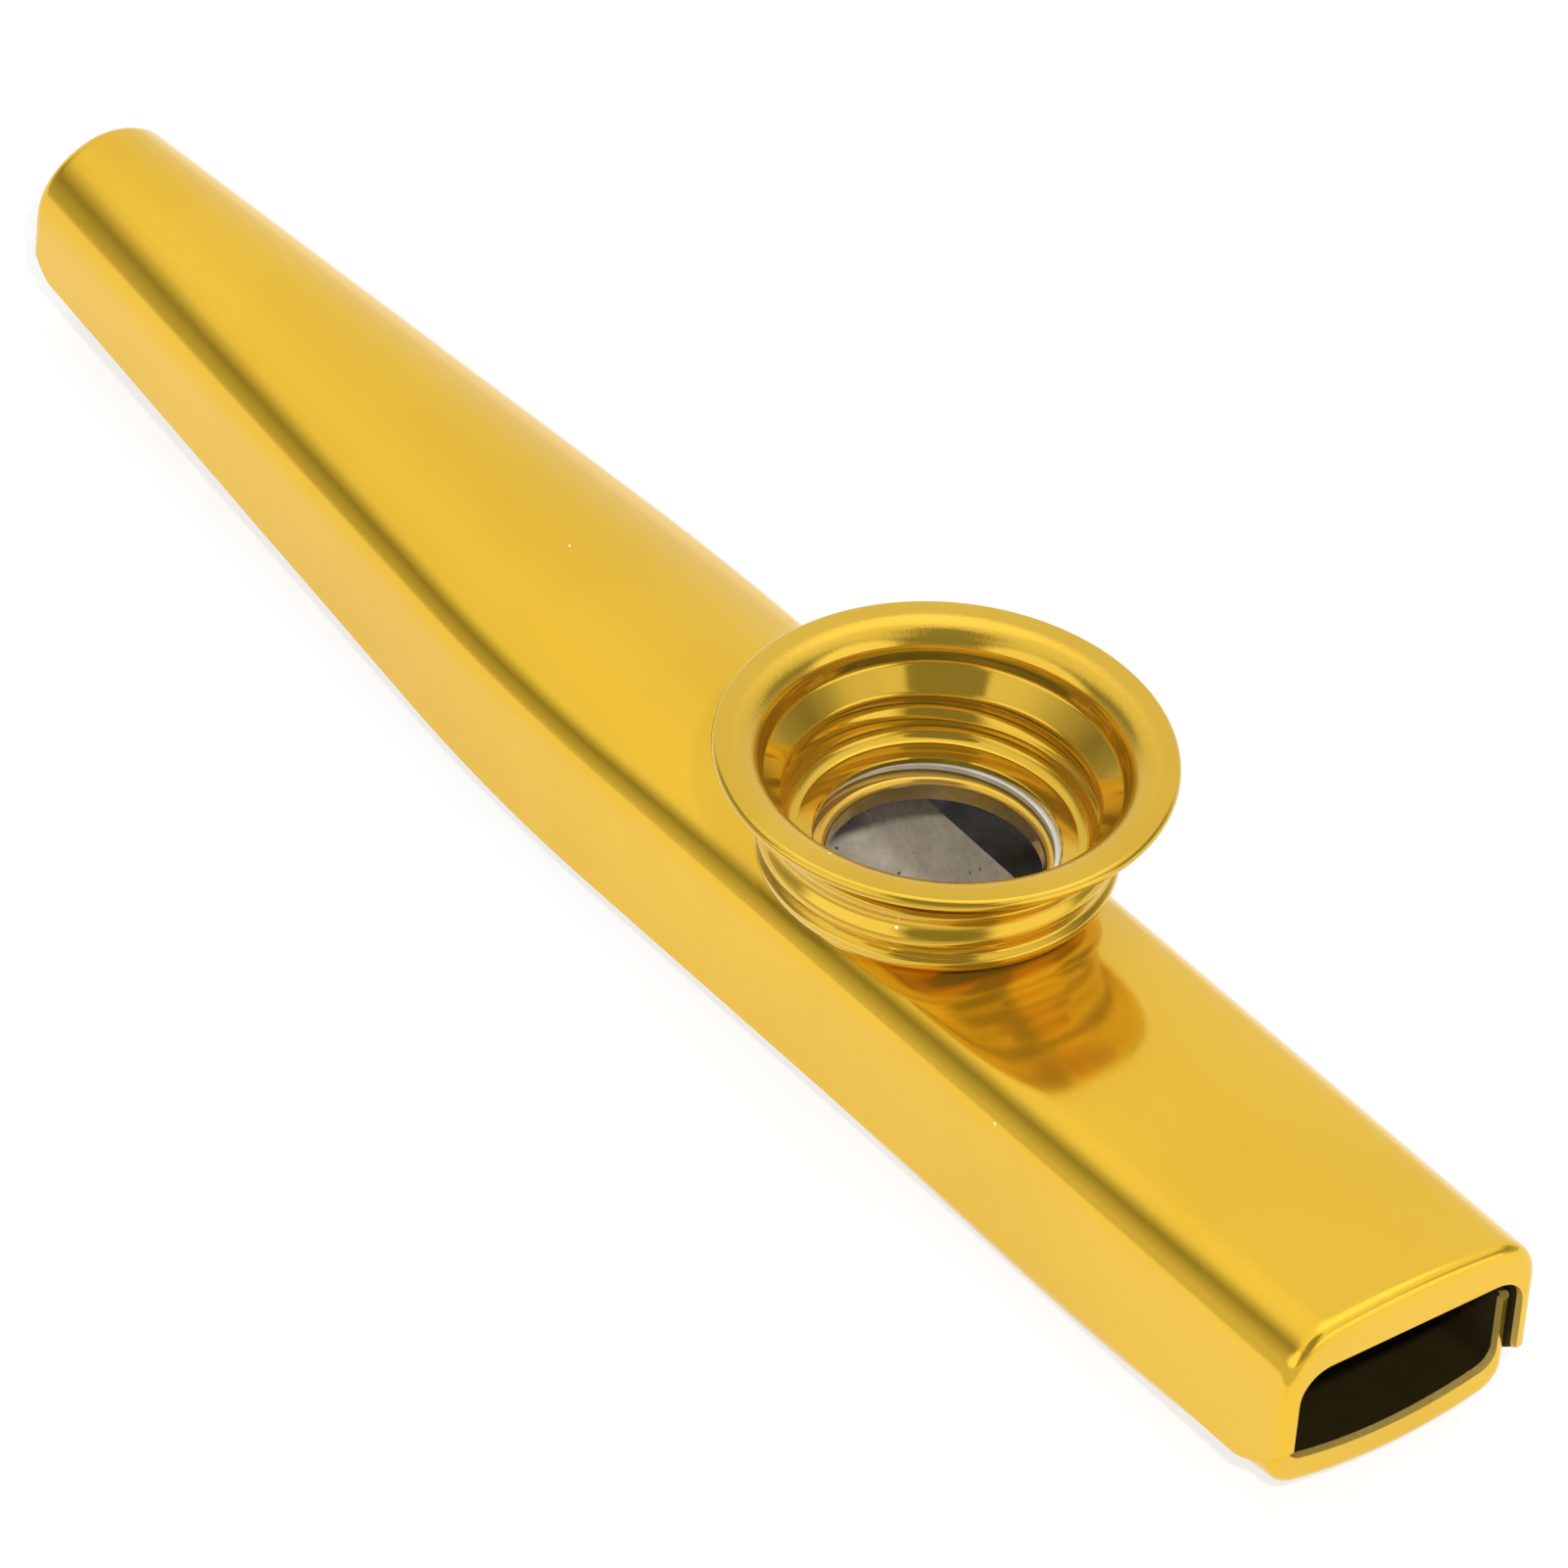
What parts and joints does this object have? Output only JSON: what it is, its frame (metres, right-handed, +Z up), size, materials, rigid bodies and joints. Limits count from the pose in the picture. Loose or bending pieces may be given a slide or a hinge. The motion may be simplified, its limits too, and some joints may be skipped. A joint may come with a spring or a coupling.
{
  "type": "kazoo",
  "caption": "Metal kazoo: tapered body of pressed shells with a wide mouth opening, and a threaded turret whose flared screw-in cap holds a buzzing membrane.",
  "frame": {"origin": "under the middle of the body's length, at the height of the flat belly, which is the bottom centre of the bounding box", "axes": "+X along the body towards the wide mouth end, +Y across the body, +Z up through the turret"},
  "size_m": [0.122, 0.026, 0.0211],
  "materials": {
    "gold_body": "satin gold anodised",
    "gold_thread": "bright gold anodised",
    "silver_ring": "bare",
    "clear_film": "clear film"
  },
  "bodies": {
    "kazoo_body": {"upper_shell": "gold_body", "lower_shell": "gold_body", "turret": "gold_thread"},
    "membrane": {"membrane_film": "clear_film", "membrane_ring": "silver_ring"},
    "cap": {"screw_cap": "gold_thread"}
  },
  "joints": [
    {"name": "cap_turn", "type": "hinge", "parent": "kazoo_body", "child": "membrane", "pos_m": [0.01825, 0, 0.0132], "axis": [0, 0, 1], "range_deg": [0, 1080]},
    {"name": "cap_lift", "type": "slide", "parent": "membrane", "child": "cap", "axis": [0, 0, 1], "range_m": [0, 0.006]}
  ],
  "couplings": [
    {"joint": "cap_lift", "follows": "cap_turn", "m_per_rad": 0.00031831}
  ]
}
